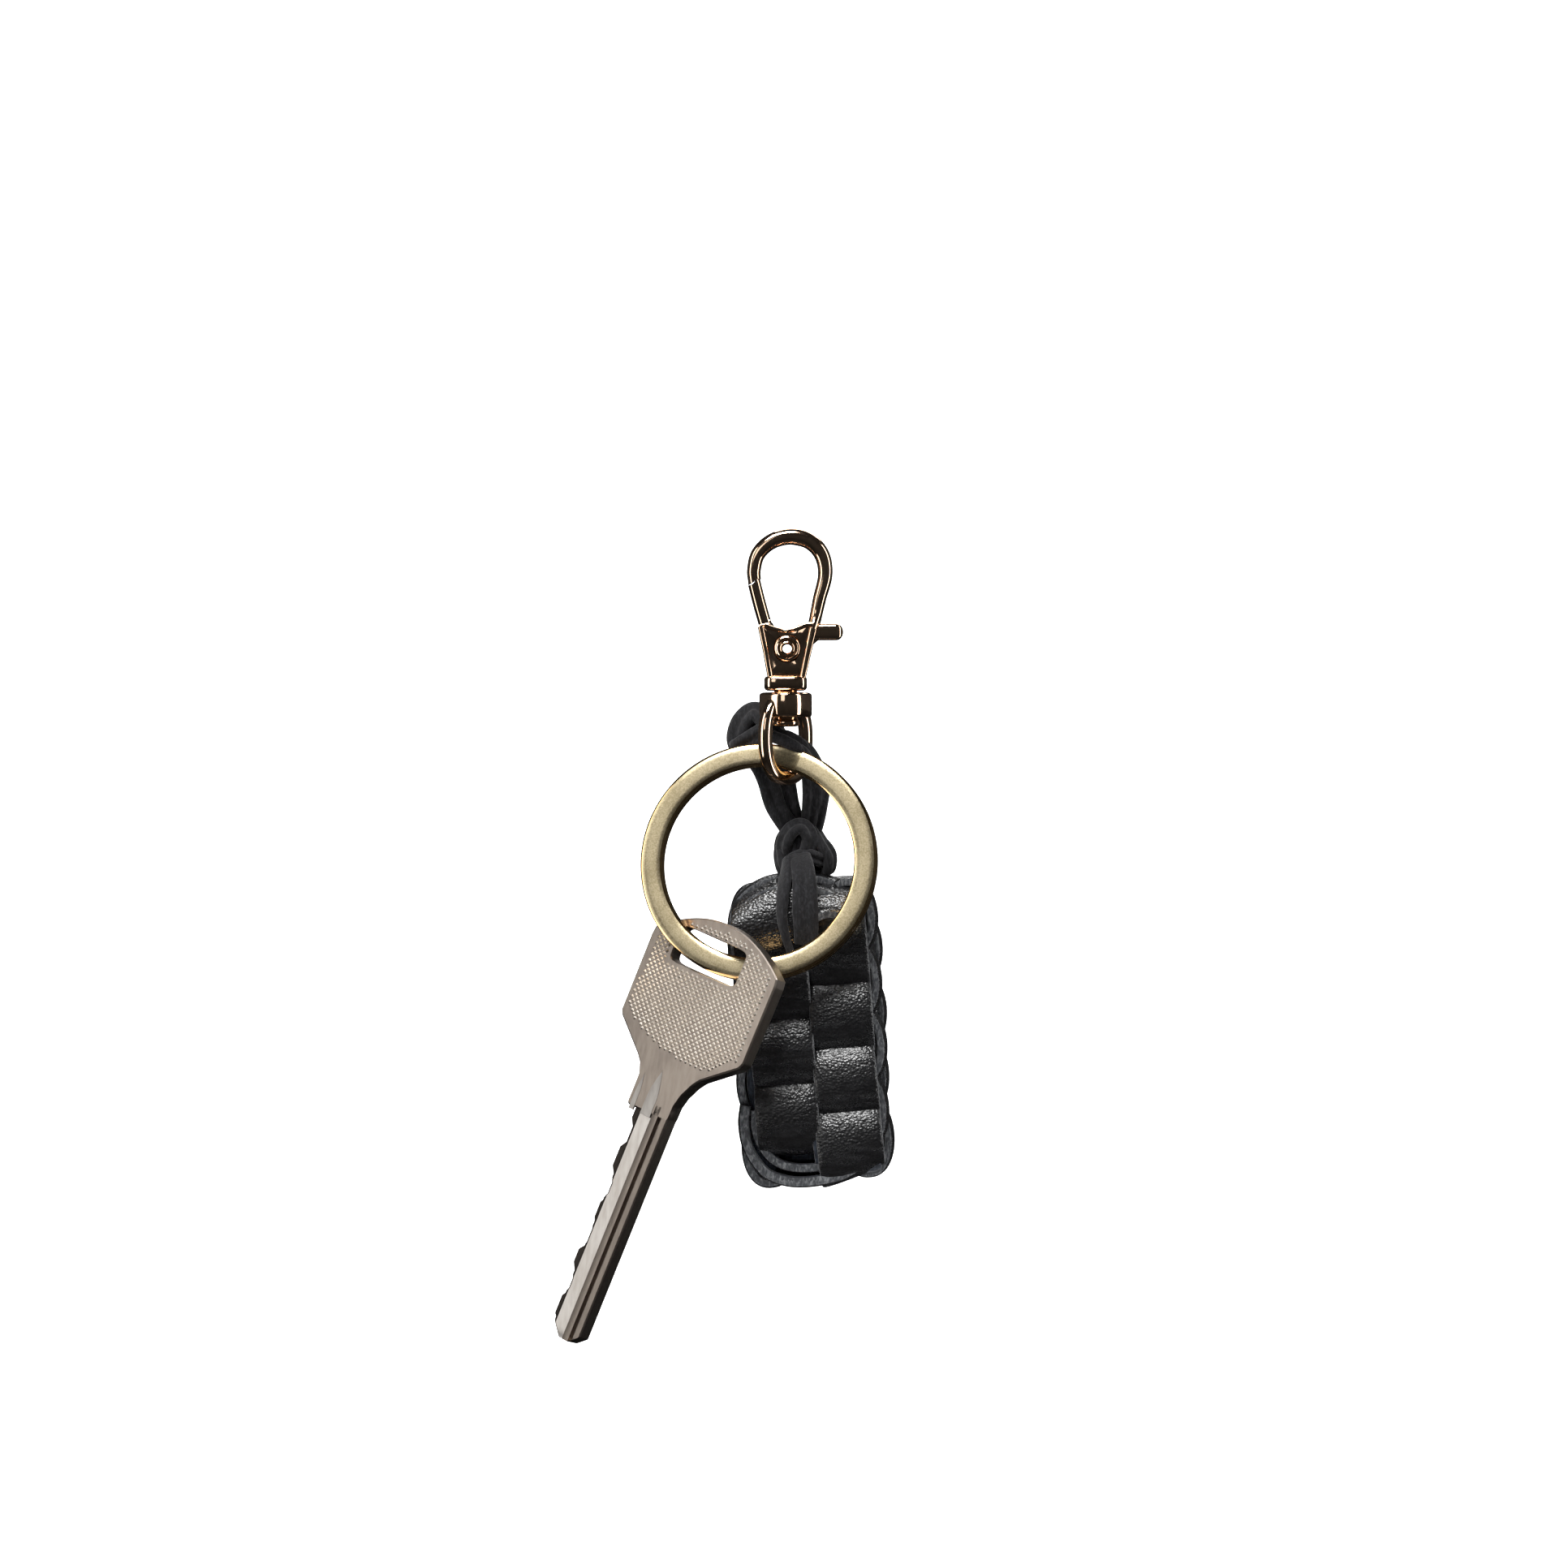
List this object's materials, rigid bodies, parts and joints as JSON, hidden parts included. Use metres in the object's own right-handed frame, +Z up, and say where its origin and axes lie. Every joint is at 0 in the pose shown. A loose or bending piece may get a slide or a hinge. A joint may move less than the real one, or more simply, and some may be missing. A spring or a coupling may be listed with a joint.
{
  "type": "key fob with swivel clasp",
  "caption": "Braided black leather key fob on a gold swivel clasp with a flat split ring and a door key.",
  "frame": {"origin": "on the swivel's turning axis, at the height of the middle of the hook's top arc, where the object hangs", "axes": "+Z up along the swivel's axis, +X towards the thumb tab, +Y away from the front"},
  "size_m": [0.0413, 0.0265, 0.1017],
  "materials": {
    "clasp_gold": "polished pale rose gold plating",
    "ring_gold": "satin khaki gold plating with bright bevelled edges",
    "key_nickel": "worn warm nickel plating, knurled bow",
    "spring_steel": "bright spring wire",
    "braid_leather": "black grained leather, semi-gloss, raw grey edges",
    "lace_suede": "matte black leather lace"
  },
  "bodies": {
    "clasp": {"hook_frame": "clasp_gold", "pivot_rivet": "clasp_gold", "lever_spring": "spring_steel", "swivel_post": "clasp_gold"},
    "lever": {"gate_lever": "clasp_gold"},
    "swivel": {"swivel_eye": "clasp_gold"},
    "ring": {"split_ring": "ring_gold"},
    "key": {"door_key": "key_nickel"},
    "fob": {"braid_core": "braid_leather", "front_wraps": "braid_leather", "right_wraps": "braid_leather", "back_wraps": "braid_leather", "left_wraps": "braid_leather", "top_crossing": "braid_leather", "bottom_crossing": "braid_leather", "lace_knot": "lace_suede", "strap_tail": "lace_suede", "hanging_lace": "lace_suede"}
  },
  "joints": [
    {"name": "gate_pivot", "type": "hinge", "parent": "clasp", "child": "lever", "pos_m": [0.0002, 0, -0.0095], "axis": [0, 1, 0], "range_deg": [0, 22], "stiffness_Nm_per_rad": 0.01, "springref_deg": -17.19},
    {"name": "swivel_spin", "type": "hinge", "parent": "clasp", "child": "swivel", "pos_m": [0, 0, -0.0166], "axis": [0, 0, 1], "continuous": true},
    {"name": "ring_swing", "type": "hinge", "parent": "swivel", "child": "ring", "pos_m": [0.0002, 0, -0.0233], "axis": [0.9501, -0.209, -0.2316], "range_deg": [-60, 0]},
    {"name": "fob_swing", "type": "hinge", "parent": "swivel", "child": "fob", "pos_m": [0.0002, 0.0001, -0.0203], "axis": [1, 0, 0], "range_deg": [0, 14]},
    {"name": "key_swing", "type": "hinge", "parent": "ring", "child": "key", "pos_m": [-0.01, -0.00265, -0.04814], "axis": [-0.8554, 0.2336, 0.4623], "range_deg": [0, 11]}
  ]
}
